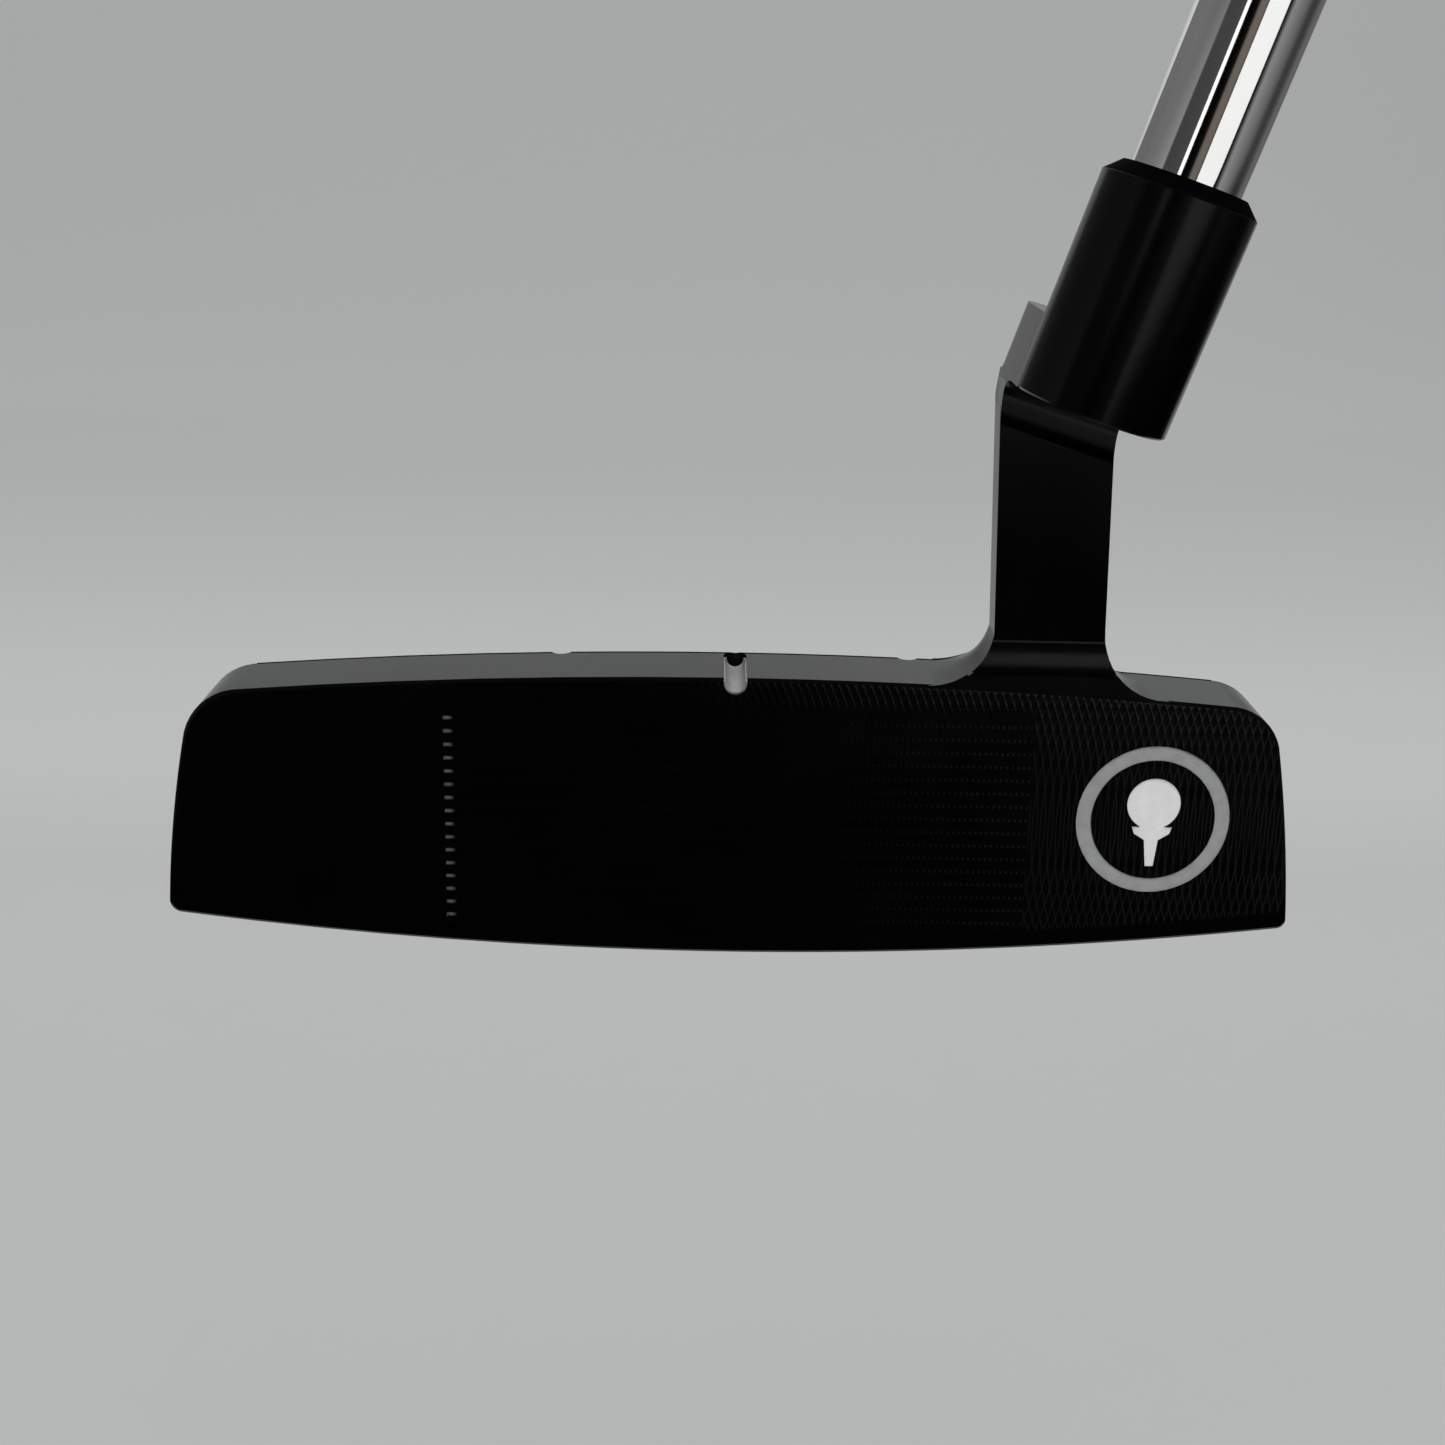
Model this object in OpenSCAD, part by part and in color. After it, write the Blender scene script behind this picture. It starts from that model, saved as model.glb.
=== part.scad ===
// Right-handed milled blade putter with a plumber's neck, at address on the ground plane.
// X runs toe (-) to heel (+), the face looks along -Y, Z is up. The origin is on the shaft axis in the middle of the grip,
// where the club is held. The modules are drawn with the sole on z = 0 and the face centre near x = 0, then put() moves them. Millimetres.

/* [Head] */
// Overall width of the head, toe to heel, measured low on the ends
head_w = 106; // [96:1:122]
// Height of the topline above the ground at its highest point
head_h = 27.3; // [24:0.1:30]
// Depth of the head, leading edge to the back of the flange
head_d = 26.5; // [22:0.5:34]
// Loft of the face
loft = 3.6; // [1:0.1:6]
// Distance of the topline's back edge behind the leading edge
top_back = 10.3; // [7:0.1:13]
// Radius of the topline crown, seen from the front
crown_r = 550; // [200:10:1200]
// Radius of the sole, heel to toe
sole_r = 420; // [200:10:900]
// Radius of the sole, front to back
sole_fb_r = 150; // [60:10:400]
// Radius of the rounded corner at the top of the toe
toe_corner_r = 5.7; // [2:0.1:9]
// Radius of the rounded corner at the top of the heel
heel_corner_r = 5.2; // [2:0.1:9]
// Bevel around the face
face_bevel = 0.28; // [0.1:0.02:0.8]

/* [Face milling] */
// Width of the shallow milled panel in the middle of the face
panel_w = 54.6; // [30:0.2:80]
// Height of the panel
panel_h = 22.4; // [12:0.2:24]
// Depth of the panel below the face
panel_depth = 0.12; // [0.05:0.01:0.4]
// Number of level grooves in the panel
groove_count = 17; // [5:1:25]
// Spacing of the grooves
groove_pitch = 1.292; // [0.8:0.002:2]
// Width of one groove
groove_w = 0.3; // [0.15:0.01:0.6]
// Depth of one groove below the panel
groove_depth = 0.13; // [0.05:0.01:0.4]

/* [Sight notch and emblem] */
// Radius of the ball cutter that makes the sight notch
notch_r = 1.08; // [0.6:0.02:2]
// Depth of the sight notch below the topline
notch_depth = 1.55; // [0.8:0.05:2.5]
// Outer radius of the round emblem on the heel side of the face
emblem_r = 7.2; // [4:0.1:9]
// Inner radius of the emblem ring
emblem_in_r = 5.8; // [2:0.1:7]
// Depth of the emblem recess
emblem_depth = 0.35; // [0.2:0.05:0.8]

/* [Neck and hosel] */
// Lie angle of the shaft
lie = 72; // [66:0.5:76]
// Distance of the shaft axis in front of the leading edge
axis_ahead = 5.5; // [2:0.1:9]
// Outer diameter of the hosel barrel
barrel_d = 13.08; // [11:0.01:16]
// Width of the neck post, toe to heel
post_w = 10.1; // [8:0.1:13]
// Front plane of the post behind the leading edge
post_front = 2.2; // [1:0.1:5]
// Length of the flat side of the post, front to back
post_flat = 2.9; // [1:0.1:6]
// Blend radius on the toe side of the post
blend_toe = 5.8; // [2:0.1:8]
// Blend radius on the heel side of the post
blend_heel = 6.3; // [2:0.1:8]

/* [Shaft and grip] */
// Diameter of the shaft tip
tip_d = 9.4; // [9:0.1:10.2]
// Diameter of the shaft butt
butt_d = 14.7; // [13:0.1:15.8]
// Wall of the shaft tube
shaft_wall = 0.6; // [0.5:0.05:1.2]
// Club length along the shaft, ground to the end of the grip
club_len = 864; // [780:1:920]
// Length of the grip
grip_len = 267; // [220:1:300]
// Distance of the holding point, the origin, from the butt end
hold_back = 130; // [90:5:180]

/* [Hidden] */
tilt = 90 - lie;
barrel_r = barrel_d / 2;
tip_r = tip_d / 2;
butt_r = butt_d / 2;
ax0 = [31.05, -axis_ahead, 60.33];      // reference point on the shaft axis
barrel_top = 12.2;                       // stations along the axis from that point
barrel_bot = -7.3;
block_top = -1.0;
bore_bot = -4.8;
bore_r = tip_r + 0.15;
ground_s = -ax0[2] / cos(tilt);
butt_s = ground_s + club_len;
grip_s = butt_s - grip_len;
shaft_top = butt_s - 3.2;
hold = ax0 + (butt_s - hold_back)*[sin(tilt), 0, cos(tilt)];
post_r = post_w / 2;
post_mid = post_front + post_flat;       // centre of the round back of the post
post_x = 28.2;                           // post centre line at z = 40
post_lean = 2.5;
groove_mid = 12.78;                      // height of the middle groove, up the face
yf = 1.62;                               // face plane just under the topline
crown_cx = 0.5;
sole_cx = -1;
v_top = head_h / cos(loft);

// centre of a circle of radius r that sits inside two discs (c1,r1) and (c2,r2), touching both; s picks the side
function ring_mid(c1, a, c2, b, s) =
    let (d = norm(c2 - c1), e = (c2 - c1) / d, t = (a*a - b*b + d*d) / (2*d), h = sqrt(a*a - t*t))
    c1 + t*e + s*h*[-e[1], e[0]];
function corner_mid(c1, r1, c2, r2, r, s) = ring_mid(c1, r1 - r + 0.006, c2, r2 - r + 0.006, s);

toe_r = 115;
heel_r = 141;
toe_c = [-52.33 - (head_w - 106)/2, 12.7] + toe_r*[cos(7.9), -sin(7.9)];
heel_c = [52.1 + (head_w - 106)/2, 12.7] - heel_r*[cos(7.7), sin(7.7)];
crown_c = [crown_cx, head_h - crown_r];
sole_c = [sole_cx, sole_r + 0.22];
tt_c = corner_mid(crown_c, crown_r, toe_c, toe_r, toe_corner_r, 1);
ht_c = corner_mid(crown_c, crown_r, heel_c, heel_r, heel_corner_r, -1);
bt_c = corner_mid(crown_c, crown_r, toe_c, toe_r, 15, 1);
bh_c = corner_mid(crown_c, crown_r, heel_c, heel_r, 15, -1);
tb_c = corner_mid(sole_c, sole_r - 0.1, toe_c, toe_r, 1.2, -1);
hb_c = corner_mid(sole_c, sole_r - 0.1, heel_c, heel_r, 0.9, 1);

function unit(v) = v / norm(v);

// frames -------------------------------------------------------------------------------------
// x, up the face, into the head
module face_frame() { rotate([-loft, 0, 0]) rotate([90, 0, 0]) mirror([0, 0, 1]) children(); }
// a shape drawn in X,Z and run back along +Y
module back(y0, y1) { translate([0, y0, 0]) mirror([0, 1, 0]) rotate([90, 0, 0]) linear_extrude(y1 - y0) children(); }
// a shape drawn in Y,Z and run along +X
module across(x0, x1) { translate([x0, 0, 0]) rotate([90, 0, 90]) linear_extrude(x1 - x0) children(); }
// the shaft axis: z along the axis, x square to it toward the heel
module axis_frame() { translate(ax0) rotate([0, tilt, 0]) children(); }
// moves the club so that the holding point is at the origin
module put() { translate(-hold) children(); }
// the neck post: z up the post
module post_frame() { translate([post_x, 0, 40]) rotate([0, -post_lean, 0]) children(); }

// head ---------------------------------------------------------------------------------------
module disc(c, r) { translate(c) circle(r, $fn = 720); }
module front_outline() {
    intersection() {
        translate([-70, -4]) square([140, 40]);
        disc(crown_c, crown_r);
        disc(toe_c, toe_r);
        disc(heel_c, heel_r);
    }
}
// the waste outside a rounded corner: wedge from the corner circle's centre, less the circle
module corner_waste(c, r, c1, c2) {
    u = unit(c - c1);
    w = unit(c - c2);
    m = unit(u + w);
    difference() {
        polygon([c + 0.25*r*m, c + 0.985*r*u + 0.1*r*m, c + 3*r*u + r*m, c + 4*r*m, c + 3*r*w + r*m, c + 0.985*r*w + 0.1*r*m]);
        translate(c) circle(r, $fn = 96);
    }
}
module corner_wastes() {
    corner_waste(tt_c, toe_corner_r, crown_c, toe_c);
    corner_waste(ht_c, heel_corner_r, crown_c, heel_c);
    corner_waste(tb_c, 1.2, sole_c, toe_c);
    corner_waste(hb_c, 0.9, sole_c, heel_c);
}
// round bar standing in for the cambered sole, curved both ways
module sole_form() {
    translate([sole_cx, 0, sole_r]) rotate([90, 0, 0]) rotate([0, 0, -102]) translate([0, 0, -10])
        rotate_extrude(angle = 24, $fn = 1440)
            intersection() {
                translate([sole_r - 45, -32]) square([60, 64]);
                translate([sole_r - sole_fb_r, 0]) circle(sole_fb_r, $fn = 360);
            }
}
// side view of the central part: face, topline, back wall, cavity floor, flange
module profile_mid() {
    difference() {
        polygon([[-4, -4], [head_d, -4], [head_d, 7.2], [head_d - 0.7, 8.1], [11.6, 9.6], [6.6, 9.9],
                 [6.6, 21.4], [7.6, 22.4], [top_back, 22.4], [top_back, 40], [-4, 40]]);
        translate([9.6, 12.7]) circle(3, $fn = 64);
    }
}
// side view through the heel and toe blocks
module profile_block() {
    polygon([[-4, -4], [head_d, -4], [head_d, 9.2], [head_d - 0.8, 10.1], [20.2, 11.6], [11.8, 21.8],
             [top_back, 22.4], [top_back, 40], [-4, 40]]);
}
// top view of the head: flange drawn in toward heel and toe
module plan() {
    intersection() {
        translate([-56, -4]) square([112, head_d + 4]);
        translate([0, head_d - 190]) circle(190, $fn = 720);
        translate([20, 0]) circle(76, $fn = 360);
        translate([-20, 0]) circle(76, $fn = 360);
    }
}
module head_block() {
    difference() {
        intersection() {
            back(-4, head_d + 4) front_outline();
            union() {
                across(-17, 17) profile_mid();
                difference() {
                    union() {
                        across(-60, -16.6) profile_block();
                        across(16.6, 60) profile_block();
                    }
                    // the blocks fall away early toward both ends
                    back(top_back + 0.02, head_d + 6) {
                        corner_waste(bt_c, 15, crown_c, toe_c);
                        corner_waste(bh_c, 15, crown_c, heel_c);
                    }
                }
            }
            translate([0, 0, -4]) linear_extrude(50) plan();
            sole_form();
        }
        // everything in front of the face plane
        face_frame() translate([-70, -10, -12]) cube([140, 60, 12]);
        back(-5, head_d + 6) corner_wastes();
        // bevel along the topline, ends and leading edge of the face
        face_frame() bevel_ring();
        // bevels around the back edge of the corners
        rear_bevel(tt_c, toe_corner_r, crown_c, toe_c);
        rear_bevel(ht_c, heel_corner_r, crown_c, heel_c);
        // bevel along the back edge of the topline
        translate([crown_cx, top_back, head_h - crown_r]) rotate([90, 0, 0]) difference() {
            translate([0, 0, -1]) cylinder(r = crown_r + 2, h = 1.3, $fn = 1440);
            translate([0, 0, -0.02]) cylinder(r1 = crown_r - 0.32, r2 = crown_r + 0.02, h = 0.34, $fn = 1440);
            translate([0, 0, -2]) cylinder(r = crown_r - 3, h = 4, $fn = 360);
        }
    }
}
module rim_bevel(c, r) {
    translate([c[0], c[1], 0]) difference() {
        translate([0, 0, -0.5]) cylinder(r = r + 3, h = 0.5 + face_bevel, $fn = 1440);
        translate([0, 0, -0.001]) cylinder(r1 = r - face_bevel, r2 = r + 0.002, h = face_bevel + 0.002, $fn = 1440);
        translate([0, 0, -1]) cylinder(r = r - 6, h = 3, $fn = 360);
    }
}
module corner_bevel(c, r, c1, c2) {
    u = unit(c - c1);
    w = unit(c - c2);
    m = unit(u + w);
    difference() {
        translate([0, 0, -0.5]) linear_extrude(0.5 + face_bevel)
            polygon([c, c + 3*r*u, c + 4*r*m, c + 3*r*w]);
        translate([c[0], c[1], -0.001]) cylinder(r1 = r - face_bevel, r2 = r + 0.002, h = face_bevel + 0.002, $fn = 96);
    }
}
module rear_bevel(c, r, c1, c2) {
    b = 0.55;
    u = unit(c - c1);
    w = unit(c - c2);
    m = unit(u + w);
    translate([0, top_back, 0]) rotate([90, 0, 0]) difference() {
        translate([0, 0, -0.5]) linear_extrude(0.5 + b) polygon([c, c + 3*r*u, c + 4*r*m, c + 3*r*w]);
        translate([c[0], c[1], -0.001]) cylinder(r1 = r - b, r2 = r + 0.002, h = b + 0.002, $fn = 96);
    }
}
module bevel_ring() {
    // topline, with the part under the neck left alone
    difference() {
        intersection() {
            rim_bevel(crown_c + [0, v_top - head_h], crown_r);
            translate([-60, 20, -1]) cube([120, 12, 4]);
        }
        translate([19.2, 20, -2]) cube([20.6, 20, 6]);
    }
    intersection() {
        rim_bevel(sole_c, sole_r - 0.1);
        translate([-60, -6, -1]) cube([120, 16, 4]);
    }
    intersection() {
        rim_bevel(toe_c, toe_r);
        translate([-60, -2, -1]) cube([20, 26, 4]);
    }
    intersection() {
        rim_bevel(heel_c, heel_r);
        translate([40, -2, -1]) cube([20, 26, 4]);
    }
    corner_bevel(tt_c, toe_corner_r, crown_c, toe_c);
    corner_bevel(ht_c, heel_corner_r, crown_c, heel_c);
    corner_bevel(tb_c, 1.2, sole_c, toe_c);
    corner_bevel(hb_c, 0.9, sole_c, heel_c);
}

// neck ---------------------------------------------------------------------------------------
module d_section(w, y0, flat) {
    translate([-w/2, y0]) square([w, flat]);
    intersection() {
        translate([0, y0 + flat]) circle(w/2, $fn = 96);
        translate([-w, y0 + flat - 0.01]) square([2*w, w]);
    }
}
module blend_profile(r, base) {
    // fills the inside corner between the post's side and the topline
    difference() {
        translate([-0.8, base - 1.6]) square([r + 0.8, r + 1.6]);
        translate([r, base + r]) circle(r, $fn = 96);
    }
}
module blend_side(s, r, base) {
    edge = post_w/2;
    // flat side
    translate([s*(edge - 0.03), post_front - 1, 0]) mirror([s < 0 ? 1 : 0, 0, 0]) back(0, post_flat + 1)
        blend_profile(r, base);
    // round back
    intersection() {
        translate([0, post_mid, 0]) rotate([0, 0, s > 0 ? 0 : 90])
            rotate_extrude(angle = 90, $fn = 96) translate([edge - 0.03, 0]) blend_profile(r, base);
        translate([-30, 0, 0]) cube([60, top_back - 0.02, 60]);
    }
}
module neck_post() {
    difference() {
        union() {
            intersection() {
                post_frame() translate([0, 0, -16]) linear_extrude(33) d_section(post_w, post_front, post_flat);
                // the toe side eases over before it meets the block
                translate([23.25, -5, 55.4]) rotate([0, 13, 0]) translate([0, 0, -60]) cube([60, 40, 120]);
                // the post ends on the underside of the block, bevelled at the back
                axis_frame() translate([-60, -20, barrel_bot + 0.03 - 80]) cube([120, 60, 80]);
                axis_frame() translate([-60, 13.9, barrel_bot]) rotate([45, 0, 0]) translate([0, -120, -120]) cube([120, 120, 240]);
            }
            translate([28.6, 0, 0]) {
                blend_side(-1, blend_toe, 26.98);
                blend_side(1, blend_heel, 25.86);
                translate([-post_w/2 - 0.02, yf - 0.02, 24.6]) cube([post_w + 0.04, post_mid - yf, 6.75]);
            }
            translate([28.6, 0, 0]) intersection() {
                union() {
                    translate([post_w/2 - 0.03, yf - 0.02, 0]) back(0, 1.4) blend_profile(blend_heel, 25.86);
                    translate([-post_w/2 + 0.03, yf - 0.02, 0]) mirror([1, 0, 0]) back(0, 1.4) blend_profile(blend_toe, 26.98);
                }
                translate([-20, 0, 24]) cube([40, 20, 7.35]);
            }
        }
        // the foot of the neck stays flush with the face
        face_frame() translate([-70, 15, -12]) cube([140, 13.16, 12]);
        // set-back blend up the front of the post
        across(10, 50) union() {
            translate([yf - 3, 31.3]) square([post_front + 3 - yf, 4]);
            intersection() {
                translate([yf - 1.5, 31]) square([post_front + 1.5 - yf, 0.34]);
                translate([post_front - 0.9, 31.35]) circle(0.9, $fn = 96);
            }
            difference() {
                translate([yf - 1.5, 28.42]) square([1.5 + 0.52, 2.6]);
                translate([yf + 7 - 0.003, 28.42]) circle(7, $fn = 240);
            }
        }
    }
}
module hosel() {
    axis_frame() {
        // barrel, chamfered at the mouth, edge broken at the foot
        translate([0, 0, barrel_bot]) rotate_extrude($fn = 128)
            polygon([[0, 0], [barrel_r - 0.2, 0], [barrel_r, 0.17], [barrel_r, 18.3], [barrel_r - 1.3, 19.5], [0, 19.5]]);
        // block behind the barrel
        difference() {
            translate([0, 0, barrel_bot]) linear_extrude(block_top - barrel_bot)
                d_section(2*barrel_r - 0.07, -0.2, 8.7);
            translate([-20, top_back + axis_ahead - 0.1, barrel_bot - 1]) cube([40, 8, 30]);
        }
    }
}
// concave run-out between the front of the post and the underside of the barrel
module runout() {
    r = 4.6;
    y0 = post_front + axis_ahead;         // post front, from the shaft axis
    intersection() {
        axis_frame() translate([-9, 0, 0]) rotate([90, 0, 90]) linear_extrude(20)
            difference() {
                translate([y0 - r, barrel_bot - r]) square([r + 1.5, r + 0.6]);
                translate([y0 - r + 0.02, barrel_bot - r]) circle(r, $fn = 96);
            }
        post_frame() translate([-post_w/2 + 0.015, -20, -10]) cube([post_w - 0.03, 30, 40]);
        axis_frame() translate([-barrel_r + 0.035, -20, -30]) cube([40, 40, 60]);
    }
}
module head() {
    color([0.045, 0.045, 0.048]) difference() {
        union() {
            difference() {
                head_block();
                head_cuts();
            }
            neck_post();
            hosel();
            runout();
        }
        // bore for the shaft with a small lead-in
        axis_frame() {
            translate([0, 0, bore_bot]) cylinder(r = bore_r, h = 40, $fn = 96);
            translate([0, 0, barrel_top - 0.2]) cylinder(r1 = bore_r, r2 = bore_r + 0.8, h = 0.8, $fn = 96);
        }
    }
}
module head_cuts() {
    // level grooves inside the milled panel
    face_frame() {
        translate([0.45, 13.6, -1]) linear_extrude(1 + panel_depth) panel_shape();
        for (i = [0:groove_count - 1])
            translate([0.45 - panel_w/2 + 0.02, groove_mid + (i - (groove_count - 1)/2)*groove_pitch - groove_w/2, 0])
                cube([panel_w - 0.04, groove_w, panel_depth + groove_depth]);
        translate([39.4, 14.45, 0]) emblem_pocket();
    }
    notch_form(notch_r, 9.0);
    // relief cuts where the blocks meet the back wall
    for (s = [-1, 1]) translate([s*16.56, top_back + 0.03, 9]) rotate([0, 0, 57])
        cylinder(r = 1, h = 30, $fn = 48);
}
module panel_shape() {
    r = 1.8;
    w = panel_w;
    h = panel_h;
    translate([-w/2 + r, -h/2]) square([w - 2*r, h]);
    translate([-w/2, -h/2 + r]) square([w, h - 2*r]);
    for (x = [-1, 1], y = [-1, 1]) translate([x*(w/2 - r), y*(h/2 - r)]) circle(r, $fn = 64);
}
module emblem_pocket() {
    difference() {
        translate([0, 0, -1]) cylinder(r = emblem_r, h = 1 + emblem_depth, $fn = 128);
        translate([0, 0, -2]) linear_extrude(4) difference() {
            circle(emblem_in_r, $fn = 128);
            mark_shape(0.02);
        }
    }
}
// plain generic mark: a ball on a tee
module mark_shape(g) {
    translate([0, 1.55]) circle(2.5 + g, $fn = 96);
    tee_shape(g);
}
module tee_shape(g) {
    polygon([[-1.9 - g, -0.7 + g], [-0.75 - g, -0.7 + g], [-0.6, 0], [0.6, 0], [0.75 + g, -0.7 + g], [1.9 + g, -0.7 + g],
             [1.65 + g, -1.4 - g], [0.66 + g, -2 - g], [0.38 + g, -4.6 - g], [-0.38 - g, -4.6 - g], [-0.66 - g, -2 - g], [-1.65 - g, -1.4 - g]]);
}
// round-bottomed sight notch with a ball end toward the back
module notch_form(r, y1) {
    zc = head_h - notch_depth + notch_r;
    translate([0.05, -2, zc]) rotate([-90, 0, 0]) cylinder(r = r, h = y1 + 2, $fn = 64);
    translate([0.05, y1, zc]) sphere(r = r, $fn = 48);
    translate([0.05 - r, -2, zc]) cube([2*r, y1 + 2, 3]);
    translate([0.05, y1, zc]) cylinder(r = r, h = 3, $fn = 64);
}

// paint in the sight notch, a thin coat over its lower part
module sight_fill() {
    zc = head_h - notch_depth + notch_r;
    color([0.56, 0.56, 0.55]) intersection() {
        difference() {
            union() {
                translate([0.05, 2, zc]) rotate([-90, 0, 0]) cylinder(r = notch_r, h = 7, $fn = 40);
                translate([0.05, 9, zc]) sphere(r = notch_r, $fn = 40);
            }
            translate([0.05, 0, zc]) rotate([-90, 0, 0]) cylinder(r = notch_r - 0.14, h = 9, $fn = 40);
            translate([0.05, 9, zc]) sphere(r = notch_r - 0.14, $fn = 40);
        }
        translate([-3, 2, zc - 3]) cube([6, 7.5, 3 + 0.12]);
    }
}
module emblem_ring() {
    color([0.6, 0.6, 0.61]) face_frame() translate([39.4, 14.45, 0.1]) difference() {
        cylinder(r = emblem_r, h = emblem_depth - 0.1, $fn = 96);
        translate([0, 0, -1]) cylinder(r = emblem_in_r, h = 3, $fn = 96);
    }
}
module emblem_mark() {
    color([0.9, 0.9, 0.9]) face_frame() translate([39.4, 14.45, 0.1]) union() {
        translate([0, 1.55, 0]) cylinder(r = 2.5, h = emblem_depth - 0.1, $fn = 96);
        linear_extrude(emblem_depth - 0.1) tee_shape(0);
    }
}

// shaft --------------------------------------------------------------------------------------
steps = 12;
step_s0 = 190;
step_ds = (grip_s + 60 - step_s0) / steps;
step_dr = (butt_r - tip_r) / steps;
module shaft() {
    outer = concat([[tip_r - 0.3, bore_bot + 0.3], [tip_r, bore_bot + 0.6]],
        [for (i = [0:steps - 1]) each [[tip_r + i*step_dr, step_s0 + i*step_ds], [tip_r + (i + 1)*step_dr, step_s0 + i*step_ds + 0.9]]],
        [[butt_r, shaft_top]]);
    inner = concat([[butt_r - shaft_wall, shaft_top]],
        [for (i = [steps - 1:-1:0]) each [[tip_r + (i + 1)*step_dr - shaft_wall, step_s0 + i*step_ds + 0.9], [tip_r + i*step_dr - shaft_wall, step_s0 + i*step_ds]]],
        [[tip_r - shaft_wall, bore_bot + 0.3]]);
    color([0.75, 0.76, 0.78]) axis_frame() rotate_extrude($fn = 48) polygon(concat(outer, inner));
}
module hosel_bond() {
    color([0.75, 0.72, 0.6]) axis_frame() translate([0, 0, bore_bot]) difference() {
        cylinder(r = bore_r, h = barrel_top - bore_bot - 0.45, $fn = 64);
        translate([0, 0, 0.3]) cylinder(r = tip_r, h = 40, $fn = 64);
        translate([0, 0, -0.1]) cylinder(r = tip_r - 1.2, h = 1, $fn = 64);
    }
}
module tip_plug() {
    color([0.1, 0.1, 0.1]) axis_frame() translate([0, 0, bore_bot + 1.2]) rotate_extrude($fn = 64)
        polygon([[0, 0], [tip_r - shaft_wall - 0.4, 0], [tip_r - shaft_wall, 0.6], [tip_r - shaft_wall, 11.4], [tip_r - shaft_wall - 0.4, 12], [0, 12]]);
}

// grip ---------------------------------------------------------------------------------------
tape_t = 0.25;
function bore_at(s) = let (i = min(steps, max(0, floor((s - step_s0)/step_ds) + 1))) tip_r + i*step_dr;
module grip_tape() {
    // double-sided tape on the straight butt section of the shaft
    color([0.8, 0.76, 0.66]) axis_frame() translate([0, 0, grip_s + 62]) difference() {
        cylinder(r = butt_r + tape_t, h = shaft_top - grip_s - 64, $fn = 64);
        translate([0, 0, -1]) cylinder(r = butt_r, h = 400, $fn = 64);
    }
}
module grip_side() {
    // side view of the grip: distance behind and in front of the axis, along the axis
    polygon([[-8.6, 0], [-9.0, 1.2], [-9.6, 60], [-10.4, 200], [-10.6, grip_len - 7], [-9.9, grip_len - 5],
             [14.6, grip_len - 5], [15.4, grip_len - 7], [15.6, grip_len - 22], [14.2, grip_len - 46], [12.2, grip_len - 74],
             [11.4, grip_len - 110], [10.4, 60], [9.2, 1.2], [8.7, 0]]);
}
module grip() {
    // the flat, for the thumbs, faces the toe
    color([0.03, 0.03, 0.032]) axis_frame() rotate([0, 0, -90]) translate([0, 0, grip_s]) difference() {
        intersection() {
            rotate([90, 0, 90]) translate([0, 0, -20]) linear_extrude(40) grip_side();
            // front view, tapering
            rotate([90, 0, 0]) translate([0, 0, -30]) linear_extrude(60)
                polygon([[-8.8, 0], [8.8, 0], [10.6, 90], [12.2, grip_len - 60], [12.6, grip_len - 7], [12, grip_len - 5], [-12, grip_len - 5], [-12.6, grip_len - 7], [-12.2, grip_len - 60], [-10.6, 90]]);
            // round back
            union() {
                translate([0, 3.2, -1]) cylinder(r1 = 12.4, r2 = 13.4, h = grip_len, $fn = 64);
                translate([-20, -30, -1]) cube([40, 30, grip_len + 4]);
            }
            // rounded front edges
            translate([0, 6, -1]) cylinder(r = 19.3, h = grip_len + 2, $fn = 120);
        }
        // bore, following the shaft and the tape
        translate([0, 0, 62]) cylinder(r = butt_r + tape_t, h = grip_len, $fn = 64);
        for (i = [steps - 2:steps])
            translate([0, 0, -0.01]) intersection() {
                cylinder(r = tip_r + i*step_dr + 0.02, h = grip_len, $fn = 64);
                translate([-20, -20, step_s0 + (i - 1)*step_ds - grip_s]) cube([40, 40, step_ds + 1]);
            }
        translate([0, 0, -1]) cylinder(r = bore_at(grip_s) + 0.02, h = 60, $fn = 64);
        // shallow rings of tread on the flat front and back
        for (i = [0:13]) translate([-20, -20, 40 + i*14]) cube([40, 10.85 - 0.072*i, 1.2]);
    }
}
module grip_cap() {
    color([0.05, 0.05, 0.05]) axis_frame() rotate([0, 0, -90]) translate([0, 0, grip_s + grip_len - 5]) difference() {
        union() {
            intersection() {
                translate([-20, -20, 0]) cube([40, 50, 5]);
                translate([0, 2.3, -6]) sphere(r = 15.8, $fn = 64);
                union() {
                    translate([0, 2.3, -1]) cylinder(r = 12.3, h = 10, $fn = 64);
                    translate([-20, -30, -1]) cube([40, 32, 10]);
                }
                translate([-12, -9.9, -1]) cube([24, 40, 10]);
            }
            translate([0, 0, -1]) cylinder(r = butt_r - shaft_wall - 0.1, h = 2, $fn = 64);
        }
        translate([0, 0, -3]) cylinder(r = 1.5, h = 20, $fn = 32);
    }
}

put() head();
put() sight_fill();
put() emblem_ring();
put() emblem_mark();
put() shaft();
put() hosel_bond();
put() tip_plug();
put() grip_tape();
put() grip();
put() grip_cap();
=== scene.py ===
"""Blade putter: materials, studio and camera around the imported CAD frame."""
import math

import bpy
from mathutils import Matrix, Vector


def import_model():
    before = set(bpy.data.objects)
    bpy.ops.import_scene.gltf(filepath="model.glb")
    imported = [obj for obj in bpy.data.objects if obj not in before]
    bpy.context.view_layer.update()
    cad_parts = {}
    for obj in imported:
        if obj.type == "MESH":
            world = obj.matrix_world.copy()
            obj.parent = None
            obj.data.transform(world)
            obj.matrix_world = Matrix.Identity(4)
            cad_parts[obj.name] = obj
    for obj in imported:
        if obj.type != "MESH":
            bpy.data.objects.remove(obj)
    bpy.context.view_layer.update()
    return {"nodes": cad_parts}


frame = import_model()
N = frame["nodes"]
scene = bpy.context.scene

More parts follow.
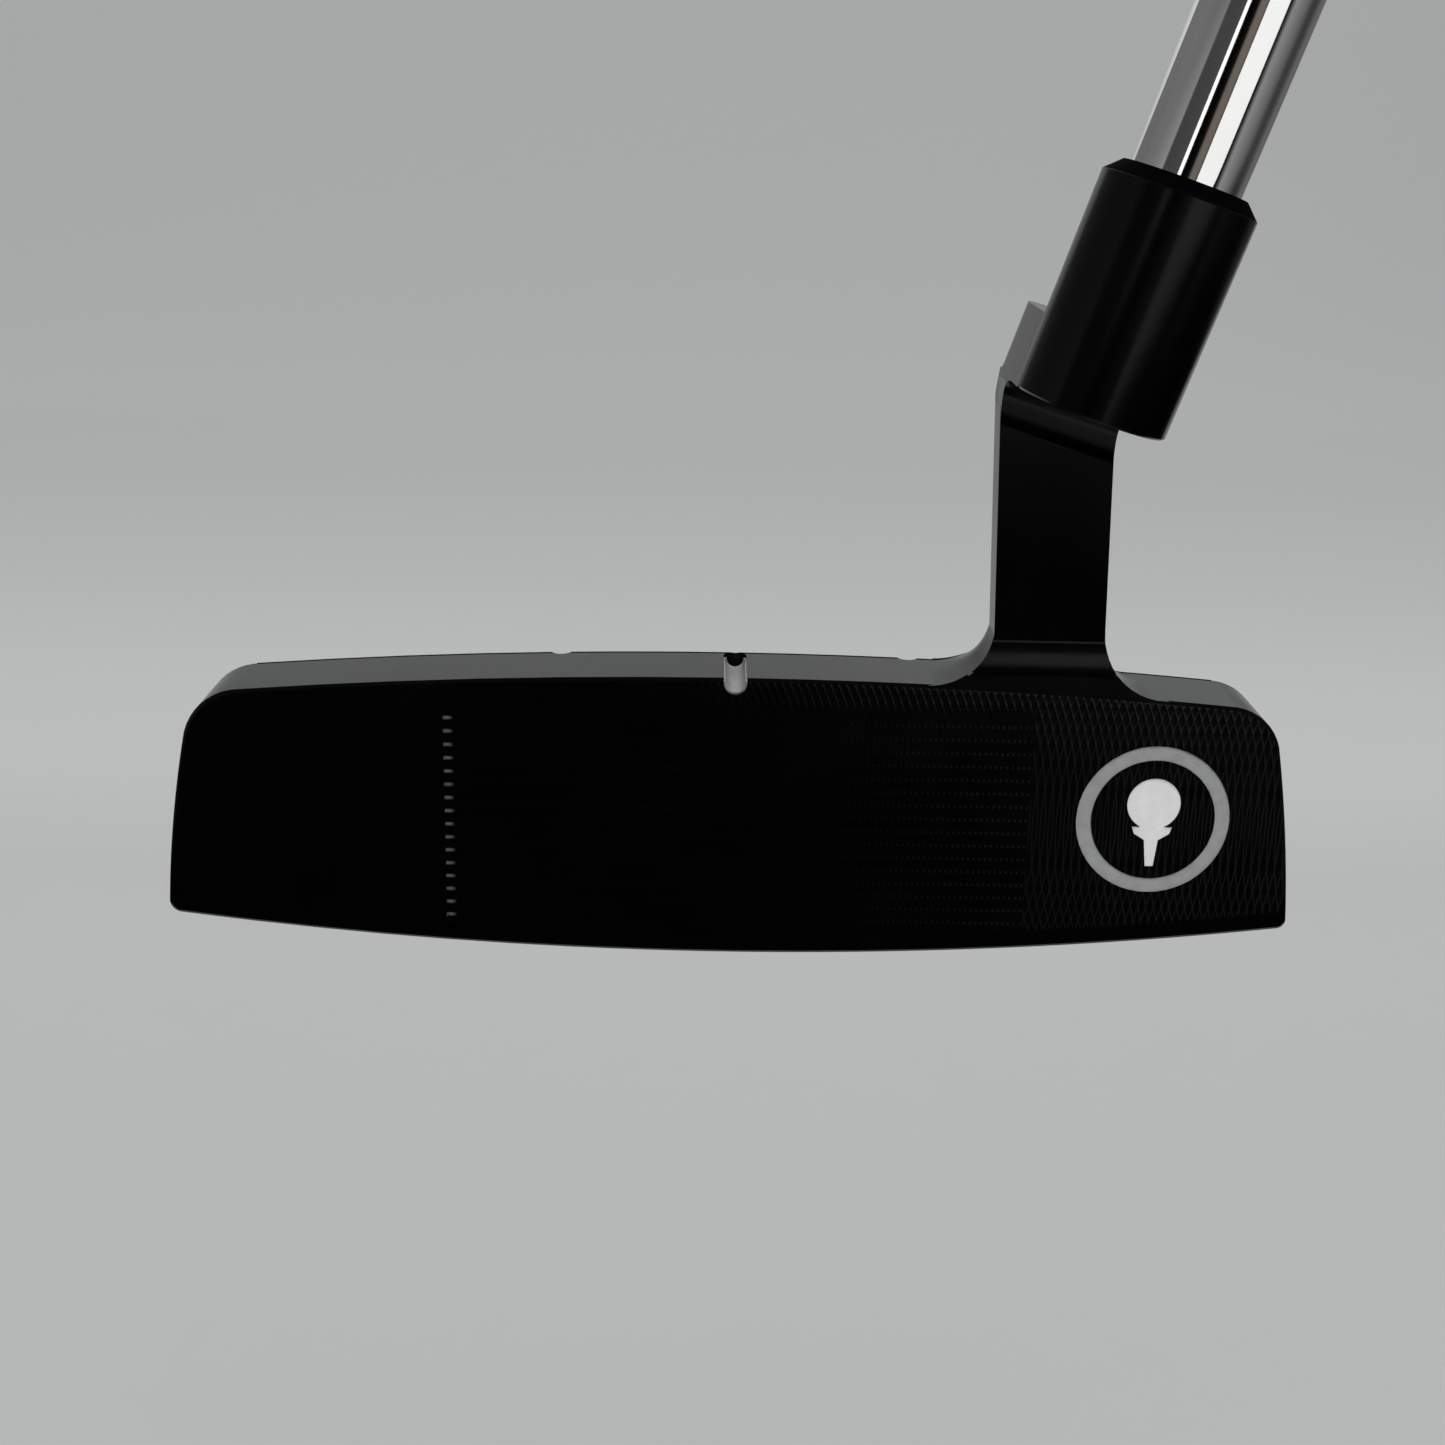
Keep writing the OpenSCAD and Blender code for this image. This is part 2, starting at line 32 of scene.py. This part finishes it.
# ---------------------------------------------------------------- where things are (mm, part.scad's own numbers)
TILT = math.radians(18.0)
AX0 = (31.05, -5.5, 60.33)
BUTT_S = -AX0[2] / math.cos(TILT) + 864.0
HOLD_S = BUTT_S - 130.0
HOLD = Vector((AX0[0] + HOLD_S * math.sin(TILT), AX0[1], AX0[2] + HOLD_S * math.cos(TILT)))


def row(x, y, z):
    """A point given in head millimetres, in the row frame in metres."""
    return (Vector((x, y, z)) - HOLD) / 1000.0


# ---------------------------------------------------------------- camera
def make_camera():
    yaw, pitch, roll = (math.radians(a) for a in (0.439, 19.194, 1.201))
    fwd = Vector((math.sin(yaw) * math.cos(pitch), math.cos(yaw) * math.cos(pitch), -math.sin(pitch)))
    right = Vector((math.cos(yaw), -math.sin(yaw), 0.0))
    up = right.cross(fwd)
    r2 = math.cos(roll) * right + math.sin(roll) * up
    u2 = -math.sin(roll) * right + math.cos(roll) * up
    cam = bpy.data.objects.new("camera", bpy.data.cameras.new("camera"))
    scene.collection.objects.link(cam)
    m = Matrix((
        (r2.x, u2.x, -fwd.x, 0.0),
        (r2.y, u2.y, -fwd.y, 0.0),
        (r2.z, u2.z, -fwd.z, 0.0),
        (0.0, 0.0, 0.0, 1.0),
    ))
    m.translation = row(-2.263, -153.461, 77.052)
    cam.matrix_world = m
    cam.data.sensor_width = 36.0
    cam.data.sensor_fit = "HORIZONTAL"
    cam.data.lens = 36.0 * 1780.0 / 1445.0
    cam.data.clip_start = 0.01
    cam.data.clip_end = 60.0
    scene.camera = cam
    return cam


make_camera()
scene.view_settings.view_transform = "Standard"
scene.view_settings.look = "None"


# ---------------------------------------------------------------- node helpers
class Nodes:
    def __init__(self, tree):
        self.t = tree
        self.n = tree.nodes
        self.l = tree.links

    def new(self, kind, **props):
        node = self.n.new(kind)
        for k, v in props.items():
            setattr(node, k, v)
        return node

    def link(self, a, b):
        self.l.new(a, b)

    def put(self, socket, value):
        if hasattr(value, "is_output") or hasattr(value, "links"):
            self.link(value, socket)
        else:
            socket.default_value = value

    def math(self, op, a, b=None, c=None, clamp=False):
        node = self.new("ShaderNodeMath", operation=op, use_clamp=clamp)
        for i, v in enumerate((a, b, c)):
            if v is not None:
                self.put(node.inputs[i], v)
        return node.outputs[0]

    def vmath(self, op, a, b=None, scale=None):
        node = self.new("ShaderNodeVectorMath", operation=op)
        self.put(node.inputs[0], a)
        if b is not None:
            self.put(node.inputs[1], b)
        if scale is not None:
            self.put(node.inputs["Scale"], scale)
        return node.outputs[0]

    def split(self, v):
        node = self.new("ShaderNodeSeparateXYZ")
        self.link(v, node.inputs[0])
        return node.outputs[0], node.outputs[1], node.outputs[2]

    def join(self, x, y, z):
        node = self.new("ShaderNodeCombineXYZ")
        for i, v in enumerate((x, y, z)):
            self.put(node.inputs[i], v)
        return node.outputs[0]

    def smooth(self, v, lo, hi):
        node = self.new("ShaderNodeMapRange", interpolation_type="SMOOTHSTEP")
        self.put(node.inputs["Value"], v)
        node.inputs["From Min"].default_value = lo
        node.inputs["From Max"].default_value = hi
        return node.outputs[0]

    def ramp(self, fac, stops, interpolation="LINEAR"):
        node = self.new("ShaderNodeValToRGB")
        cr = node.color_ramp
        cr.interpolation = interpolation
        stops = [(p, c if isinstance(c, (tuple, list)) else (c, c, c)) for p, c in stops]
        while len(cr.elements) < len(stops):
            cr.elements.new(0.5)
        for e, (p, c) in zip(cr.elements, stops):
            e.position = p
            e.color = (c[0], c[1], c[2], 1.0)
        self.put(node.inputs[0], fac)
        return node.outputs[0]

    def noise(self, vec, scale, detail=3.0, rough=0.5, dims="3D"):
        node = self.new("ShaderNodeTexNoise", noise_dimensions=dims)
        self.link(vec, node.inputs["Vector"])
        node.inputs["Scale"].default_value = scale
        node.inputs["Detail"].default_value = detail
        node.inputs["Roughness"].default_value = rough
        return node.outputs["Fac"]

    def mix(self, fac, a, b):
        node = self.new("ShaderNodeMix", data_type="RGBA")
        self.put(node.inputs["Factor"], fac)
        for i, v in ((6, a), (7, b)):
            if isinstance(v, (tuple, list)):
                v = (v[0], v[1], v[2], 1.0)
            self.put(node.inputs[i], v)
        return node.outputs[2]

    def bump(self, height, strength, distance, normal=None):
        node = self.new("ShaderNodeBump")
        self.put(node.inputs["Height"], height)
        node.inputs["Strength"].default_value = strength
        node.inputs["Distance"].default_value = distance
        if normal is not None:
            self.link(normal, node.inputs["Normal"])
        return node.outputs[0]


def material(name):
    mat = bpy.data.materials.new(name)
    mat.use_nodes = True
    g = Nodes(mat.node_tree)
    bsdf = next(n for n in g.n if n.type == "BSDF_PRINCIPLED")
    return mat, g, bsdf


def mm_coords(g):
    """Head millimetres of the shaded point."""
    tc = g.new("ShaderNodeTexCoord")
    mm = g.vmath("SCALE", tc.outputs["Object"], scale=1000.0)
    return g.vmath("ADD", mm, tuple(HOLD)), tc.outputs["Normal"]


# ---------------------------------------------------------------- black milled head
FACE_MID = 13.6
CUTTER_R = 33.0
PITCH = 0.74
GROOVE_MID = 12.755
GROOVE_PITCH = 1.2894
TOP_BACK = 10.3


def black_coat():
    mat, g, b = material("black_coat")
    p, normal = mm_coords(g)
    x, y, z = g.split(p)
    nx, ny, nz = g.split(normal)

    # the face plane only: looks forward, between the rounded sole edge and the topline
    facing = g.smooth(g.math("MULTIPLY", ny, -1.0), 0.984, 0.992)
    dx = g.math("SUBTRACT", x, 0.5)
    crown = g.math("MULTIPLY", g.math("MULTIPLY", dx, dx), 1.0 / 1100.0)
    above = g.smooth(g.math("ADD", z, crown), 27.05, 26.8)
    dxs = g.math("ADD", x, 1.0)
    camber = g.math("MULTIPLY", g.math("MULTIPLY", dxs, dxs), 1.0 / 840.0)
    below = g.smooth(g.math("SUBTRACT", z, camber), 1.9, 2.3)
    face = g.math("MULTIPLY", g.math("MULTIPLY", facing, above), below)

    # fly-cutter marks: two families of arcs that cross
    dz = g.math("SUBTRACT", z, FACE_MID)
    arc = g.math("SQRT", g.math("SUBTRACT", CUTTER_R * CUTTER_R, g.math("MULTIPLY", dz, dz)))

    def family(v, offset, sharp):
        ph = g.math("ADD", g.math("DIVIDE", v, PITCH), offset)
        fr = g.math("SUBTRACT", g.math("FRACT", ph), 0.5)
        tri = g.math("MULTIPLY", g.math("ABSOLUTE", fr), 2.0)
        return g.math("POWER", tri, sharp)

    left = g.math("SUBTRACT", x, arc)
    right = g.math("ADD", x, arc)
    ridges = g.math("ADD", family(left, 0.0, 3.0), g.math("MULTIPLY", family(right, 0.37, 3.0), 0.9))
    crests = g.math("MAXIMUM", family(left, 0.0, 6.0), family(right, 0.37, 6.0))
    patch = g.noise(p, 0.55, 3.0, 0.6)

    # the panel: level grooves, and only faint cutter marks between them
    px = g.math("ABSOLUTE", g.math("SUBTRACT", x, 0.45))
    pz = g.math("ABSOLUTE", g.math("SUBTRACT", z, FACE_MID))
    inside = g.math("MULTIPLY", g.math("LESS_THAN", px, 27.3), g.math("LESS_THAN", pz, 11.15))
    outside = g.math("SUBTRACT", 1.0, inside)
    height = g.math("MULTIPLY", g.math("MULTIPLY", ridges, face), g.math("ADD", g.math("MULTIPLY", outside, 0.7), 0.3))
    gz = g.math("DIVIDE", g.math("SUBTRACT", z, GROOVE_MID), GROOVE_PITCH)
    gf = g.math("ABSOLUTE", g.math("SUBTRACT", g.math("FRACT", g.math("ADD", gz, 0.5)), 0.5))
    groove = g.math("MULTIPLY", g.smooth(gf, 0.16, 0.07), g.math("LESS_THAN", g.math("ABSOLUTE", gz), 8.4))
    groove = g.math("MULTIPLY", g.math("MULTIPLY", groove, inside), face)
    beads = g.math("POWER", g.math("MULTIPLY", g.math("ABSOLUTE", g.math("SUBTRACT", g.math("FRACT", g.math("DIVIDE", x, 0.52)), 0.5)), 2.0), 2.0)

    # painted highlight: the cutter crests and groove beads are coloured lighter, fading toward the toe because the
    # light falls from the heel; the toe end of each groove gets a painted highlight too
    heel_light_fade = g.smooth(x, -3.0, 46.0)
    height = g.math("MULTIPLY", height, g.math("ADD", 0.25, g.math("MULTIPLY", g.smooth(x, -20.0, 30.0), 0.75)))
    crest_highlight = g.math("MULTIPLY", g.math("MULTIPLY", crests, face), outside)
    crest_highlight = g.math("ADD", crest_highlight, g.math("MULTIPLY", g.math("MULTIPLY", groove, beads), 3.0))
    crest_highlight = g.math("MULTIPLY", g.math("MULTIPLY", crest_highlight, heel_light_fade), g.math("ADD", g.math("MULTIPLY", patch, 1.0), 0.45))
    # painted highlight mask: the toe end of each groove
    groove_end_highlight = g.math("MULTIPLY", g.math("MULTIPLY", groove, g.smooth(x, -25.9, -26.5)), 1.0)

    # fine bead-blast grain under the coating, everywhere
    grain = g.noise(p, 9.0, 4.0, 0.65)
    n0 = g.bump(grain, 0.12, 0.000012)
    n1 = g.bump(height, 1.0, 0.00002, n0)
    g.link(n1, b.inputs["Normal"])

    # the back corner of the topline is broken by hand and left matt
    lip = g.math("MULTIPLY", g.smooth(y, TOP_BACK - 0.72, TOP_BACK - 0.66), g.math("GREATER_THAN", z, 22.5))
    lip = g.math("MULTIPLY", g.math("MULTIPLY", lip, g.math("LESS_THAN", z, 29.0)), g.smooth(nz, 0.6, 0.7))
    wear = g.noise(p, 0.12, 4.0, 0.6)
    rough = g.ramp(wear, [(0.3, 0.14), (0.7, 0.19)])
    rough = g.math("ADD", rough, g.math("MULTIPLY", grain, 0.05))
    col = g.ramp(wear, [(0.25, (0.0006, 0.0006, 0.0007)), (0.75, (0.0012, 0.0012, 0.0013))])
    # painted highlight: lighter grey on the cutter crests and groove beads
    col = g.mix(g.math("MULTIPLY", crest_highlight, 0.12, clamp=True), col, (0.075, 0.078, 0.076))
    # painted highlight: light grey at the toe end of each groove, where the end walls catch the light
    col = g.mix(groove_end_highlight, col, (0.2, 0.2, 0.2))
    g.link(col, b.inputs["Base Color"])
    # so is the chamfer round the mouth of the hosel
    g.vmath("DOT_PRODUCT", g.vmath("SUBTRACT", p, AX0), (math.sin(TILT), 0.0, math.cos(TILT)))
    mouth = g.smooth(g.n[-1].outputs["Value"], 10.95, 11.1)
    matt = g.math("ADD", lip, mouth, clamp=True)
    g.link(g.math("ADD", rough, g.math("MULTIPLY", matt, 0.6)), b.inputs["Roughness"])
    g.link(g.math("SUBTRACT", 0.5, g.math("MULTIPLY", matt, 0.46)), b.inputs["Specular IOR Level"])
    b.inputs["IOR"].default_value = 1.3
    return mat


def paint(name, colour, gloss=0.35, cloud=0.06):
    mat, g, b = material(name)
    p, normal = mm_coords(g)
    n = g.noise(p, 0.9, 3.0, 0.55)
    lo = tuple(c * (1.0 - cloud) for c in colour)
    hi = tuple(min(1.0, c * (1.0 + cloud)) for c in colour)
    g.link(g.ramp(n, [(0.3, lo), (0.7, hi)]), b.inputs["Base Color"])
    n2 = g.noise(p, 2.4, 2.0, 0.5)
    g.link(g.ramp(n2, [(0.3, gloss - 0.05), (0.7, gloss + 0.08)]), b.inputs["Roughness"])
    g.link(g.bump(n2, 0.35, 0.00004), b.inputs["Normal"])
    b.inputs["IOR"].default_value = 1.45
    return mat


def chrome():
    mat, g, b = material("chrome_steel")
    p, normal = mm_coords(g)
    b.inputs["Metallic"].default_value = 1.0
    n = g.noise(p, 0.25, 3.0, 0.6)
    g.link(g.ramp(n, [(0.3, (0.90, 0.905, 0.90)), (0.7, (0.94, 0.945, 0.94))]), b.inputs["Base Color"])
    # very fine polishing lines around the tube
    s = g.vmath("DOT_PRODUCT", p, (math.sin(TILT), 0.0, math.cos(TILT)))
    dot = g.n[-1].outputs["Value"]
    lines = g.noise(g.join(g.math("MULTIPLY", dot, 6.0), 0.0, 0.0), 1.0, 4.0, 0.7)
    g.link(g.ramp(lines, [(0.3, 0.03), (0.7, 0.06)]), b.inputs["Roughness"])
    g.link(g.bump(lines, 0.04, 0.000005), b.inputs["Normal"])
    return mat


def rubber(name, base, tread):
    mat, g, b = material(name)
    p, normal = mm_coords(g)
    n = g.noise(p, 0.5, 5.0, 0.65)
    g.link(g.ramp(n, [(0.3, tuple(c * 0.8 for c in base)), (0.7, tuple(c * 1.25 for c in base))]), b.inputs["Base Color"])
    x, y, z = g.split(p)
    if tread:
        # small diamond texture pressed into the rubber
        s = g.math("ADD", g.math("MULTIPLY", x, math.sin(TILT)), g.math("MULTIPLY", z, math.cos(TILT)))
        u = g.math("SUBTRACT", g.math("MULTIPLY", x, math.cos(TILT)), g.math("MULTIPLY", z, math.sin(TILT)))
        q = g.math("ADD", y, u)
        a = g.math("PINGPONG", g.math("ADD", s, q), 0.9)
        c = g.math("PINGPONG", g.math("SUBTRACT", s, q), 0.9)
        h = g.math("MINIMUM", g.math("MULTIPLY", g.math("MINIMUM", a, c), 3.0), 1.0)
        n1 = g.bump(h, 0.8, 0.00018)
    else:
        n1 = g.bump(g.noise(p, 1.6, 4.0, 0.6), 0.5, 0.0001)
    fine = g.noise(p, 5.0, 4.0, 0.7)
    g.link(g.bump(fine, 0.25, 0.00005, n1), b.inputs["Normal"])
    g.link(g.ramp(n, [(0.3, 0.55), (0.7, 0.72)]), b.inputs["Roughness"])
    b.inputs["IOR"].default_value = 1.5
    return mat


def plain(name, colour, rough, scale):
    mat, g, b = material(name)
    p, normal = mm_coords(g)
    n = g.noise(p, scale, 4.0, 0.6)
    g.link(g.ramp(n, [(0.3, tuple(c * 0.85 for c in colour)), (0.7, tuple(min(1.0, c * 1.1) for c in colour))]), b.inputs["Base Color"])
    g.link(g.ramp(n, [(0.3, rough - 0.06), (0.7, rough + 0.06)]), b.inputs["Roughness"])
    g.link(g.bump(n, 0.3, 0.00005), b.inputs["Normal"])
    return mat


LOOKS = {
    "head": black_coat(),
    "sight_fill": paint("grey_paint", (0.27, 0.272, 0.268)),
    "emblem_ring": paint("ring_paint", (0.34, 0.343, 0.345), 0.38, 0.1),
    "emblem_mark": paint("white_paint", (0.84, 0.845, 0.84), 0.3, 0.03),
    "shaft": chrome(),
    "hosel_bond": plain("epoxy", (0.62, 0.57, 0.4), 0.35, 0.8),
    "tip_plug": plain("plug_plastic", (0.06, 0.06, 0.06), 0.5, 0.8),
    "grip_tape": plain("tape", (0.62, 0.56, 0.43), 0.8, 2.0),
    "grip": rubber("grip_rubber", (0.022, 0.022, 0.023), True),
    "grip_cap": rubber("cap_rubber", (0.03, 0.03, 0.031), False),
}
for name, obj in N.items():
    mat = LOOKS[name]
    if not obj.material_slots:
        obj.data.materials.append(mat)
    for s in obj.material_slots:
        s.material = mat

# ---------------------------------------------------------------- studio
FLOOR = row(0, 0, -280.0).z
HEAD = row(0, 0, 14.0)


def paper(name, rows, reflected=True):
    """One piece of the seamless paper; rows are (y, height above the floor, left edge, right edge)."""
    verts, faces = [], []
    for y, z, x0, x1 in rows:
        verts += [(x0, y, FLOOR + z), (x1, y, FLOOR + z)]
    for i in range(len(rows) - 1):
        faces.append((2 * i, 2 * i + 1, 2 * i + 3, 2 * i + 2))
    mesh = bpy.data.meshes.new(name)
    mesh.from_pydata(verts, [], faces)
    mesh.update()
    for poly in mesh.polygons:
        poly.use_smooth = True
    obj = bpy.data.objects.new(name, mesh)
    scene.collection.objects.link(obj)
    obj.data.materials.append(PAPER)
    obj.visible_glossy = reflected
    return obj


def paper_look():
    """Pale paper that glows: its emission carries painted light and shade, graded along t, which runs from the club
    back along the floor and up the wall.
    """
    mat, g, b = material("studio_paper")
    tc = g.new("ShaderNodeTexCoord")
    x, y, z = g.split(tc.outputs["Object"])
    q = g.math("ADD", y, g.math("MULTIPLY", g.math("SUBTRACT", z, FLOOR), 1.2))
    t = g.math("DIVIDE", q, 6.0)
    cool = (0.985, 1.02, 1.005)

    def c(v):
        return tuple(v * k for k in cool)
    glow = g.ramp(t, [
        (0.044, c(0.262)), (0.068, c(0.279)), (0.093, c(0.302)), (0.110, c(0.305)), (0.133, c(0.35)), (0.162, c(0.345)),
        (0.203, c(0.315)), (0.265, c(0.292)), (0.313, c(0.293)), (0.36, c(0.306)), (0.62, c(0.314)), (0.70, c(0.5)), (0.78, c(0.62)),
        (1.0, c(0.66))])
    # painted shade: a little darker toward the heel; and paper grain
    heel_shade = g.smooth(x, 0.2, 1.6)
    fibre = g.noise(tc.outputs["Object"], 60.0, 4.0, 0.6)
    k = g.math("SUBTRACT", 1.0, g.math("MULTIPLY", heel_shade, 0.08))
    k = g.math("MULTIPLY", k, g.math("ADD", 0.985, g.math("MULTIPLY", fibre, 0.03)))
    # painted light: the wall above the frame glows brighter to both sides
    wall_glow_mask = g.smooth(t, 0.66, 0.76)
    az = g.math("DIVIDE", g.math("ADD", g.math("SUBTRACT", x, HEAD.x), 0.12), 3.1)
    wall_glow_sides = g.ramp(g.math("ADD", g.math("MULTIPLY", az, 0.5), 0.5), [
        (0.0, 1.0), (0.25, 0.95), (0.40, 0.95), (0.50, 1.0), (0.62, 1.1), (0.78, 1.3), (1.0, 1.3)])
    k = g.math("MULTIPLY", k, g.math("ADD", 1.0, g.math("MULTIPLY", wall_glow_mask, g.math("SUBTRACT", wall_glow_sides, 1.0))))
    # painted light: the paper shines by this emission ramp instead of being lit by the lamps
    g.link(glow, b.inputs["Emission Color"])
    g.link(k, b.inputs["Emission Strength"])
    b.inputs["Base Color"].default_value = (0.3, 0.3, 0.3, 1.0)
    b.inputs["Roughness"].default_value = 0.9
    b.inputs["Specular IOR Level"].default_value = 0.1
    return mat


PAPER = paper_look()
# only the part of the paper behind the club shows in the reflections; the rest is flagged off
paper("studio_floor_front", [(y, 0.0, -30.0, 30.0) for y in (-5.0, -3.0, -1.5, -0.7, -0.05)], reflected=False)
line = [(-0.05 + i * 0.41, 0.0) for i in range(6)]
line += [(2.0 + math.sin(math.pi / 2 * i / 16), 1.0 - math.cos(math.pi / 2 * i / 16)) for i in range(1, 17)]
line.append((3.0, 4.5))


def half_width(y):
    return min(1.6, 0.3 + 0.6 * (y + 0.05))


paper("studio_sweep", [(y, z, HEAD.x - half_width(y), HEAD.x + half_width(y)) for y, z in line])
paper("studio_sweep_toe", [(y, z, -30.0, HEAD.x - half_width(y)) for y, z in line], reflected=False)
paper("studio_sweep_heel", [(y, z, HEAD.x + half_width(y), 30.0) for y, z in line], reflected=False)


def direction(az, el):
    """Unit vector: az from the front (-Y) toward the heel (+X), el up, in degrees."""
    a, e = math.radians(az), math.radians(el)
    return Vector((math.sin(a) * math.cos(e), -math.cos(a) * math.cos(e), math.sin(e)))


def softbox(name, az, el, dist, w, h, radiance, colour=(1, 1, 1), roll=0.0, target=HEAD, spread=180.0):
    light = bpy.data.lights.new(name, "AREA")
    light.shape = "RECTANGLE"
    light.size = w
    light.size_y = h
    light.energy = radiance * math.pi * w * h
    light.color = colour
    light.spread = math.radians(spread)
    obj = bpy.data.objects.new(name, light)
    scene.collection.objects.link(obj)
    d = direction(az, el)
    obj.location = target + d * dist
    obj.rotation_euler = ((d.to_track_quat("Z", "Y")) @ Matrix.Rotation(math.radians(roll), 3, "Z").to_quaternion()).to_euler()
    return obj


softbox("window_heel", 25.0, 3.6, 0.9, 0.56, 0.287, 0.95, (1.0, 1.0, 0.99))
softbox("strip_toe", -25.8, 23.5, 0.9, 0.1, 0.33, 1.1)
softbox("key_top", 5.0, 62.0, 1.3, 1.0, 0.8, 6.5).visible_glossy = False


def world():
    w = bpy.data.worlds.new("studio_room")
    scene.world = w
    w.use_nodes = True
    g = Nodes(w.node_tree)
    g.n.clear()
    out = g.new("ShaderNodeOutputWorld")
    tc = g.new("ShaderNodeTexCoord")
    x, y, z = g.split(tc.outputs["Generated"])
    az = g.math("ARCTAN2", x, g.math("MULTIPLY", y, -1.0))
    t = g.math("ADD", g.math("DIVIDE", az, 2 * math.pi), 0.5)

    def at(a):
        return (a + 180.0) / 360.0
    upper = g.ramp(t, [
        (0.0, 0.3), (at(-150), 0.15), (at(-120), 0.13), (at(-95), 0.17), (at(-66), 0.28), (at(-62), 0.05), (at(-33), 0.06),
        (at(-22), 0.0), (at(-11), 0.005), (at(-7), (0.15, 0.12, 0.105)), (at(2), (0.15, 0.13, 0.115)), (at(6), 0.01),
        (at(43), 0.01), (at(47), 0.06), (at(52), 0.22), (at(82), 0.1), (at(92), 0.04), (at(106), 0.04), (at(116), 0.12),
        (at(150), 0.15), (1.0, 0.3)])
    lower = g.ramp(t, [
        (0.0, 0.3), (at(-140), 0.2), (at(-100), 0.05), (at(-80), 0.0), (at(43), 0.0), (at(47), 0.06), (at(53), 0.24), (at(82), 0.11),
        (at(93), 0.045), (at(105), 0.045), (at(122), 0.12), (at(149), 0.12), (1.0, 0.3)])
    lower = g.mix(g.smooth(z, -0.3, -0.24), (0.0, 0.0, 0.0), lower)
    band = g.mix(g.smooth(z, -0.12, -0.03), lower, upper)
    high = g.ramp(g.math("ADD", g.math("MULTIPLY", y, 0.5), 0.5), [(0.0, 0.03), (0.45, 0.08), (0.7, 0.2), (1.0, 0.3)])
    room = g.mix(g.smooth(z, 0.25, 0.6), band, high)
    room = g.mix(g.smooth(z, -0.66, -0.76), room, (0.33, 0.335, 0.33))
    seen = g.ramp(g.math("ADD", g.math("MULTIPLY", z, 0.5), 0.5), [(0.3, 0.46), (0.45, 0.42), (0.55, 0.38), (1.0, 0.36)])
    b1 = g.new("ShaderNodeBackground")
    g.link(room, b1.inputs[0])
    b2 = g.new("ShaderNodeBackground")
    g.link(seen, b2.inputs[0])
    lp = g.new("ShaderNodeLightPath")
    mix = g.new("ShaderNodeMixShader")
    g.link(lp.outputs["Is Camera Ray"], mix.inputs[0])
    g.link(b1.outputs[0], mix.inputs[1])
    g.link(b2.outputs[0], mix.inputs[2])
    g.link(mix.outputs[0], out.inputs[0])


world()
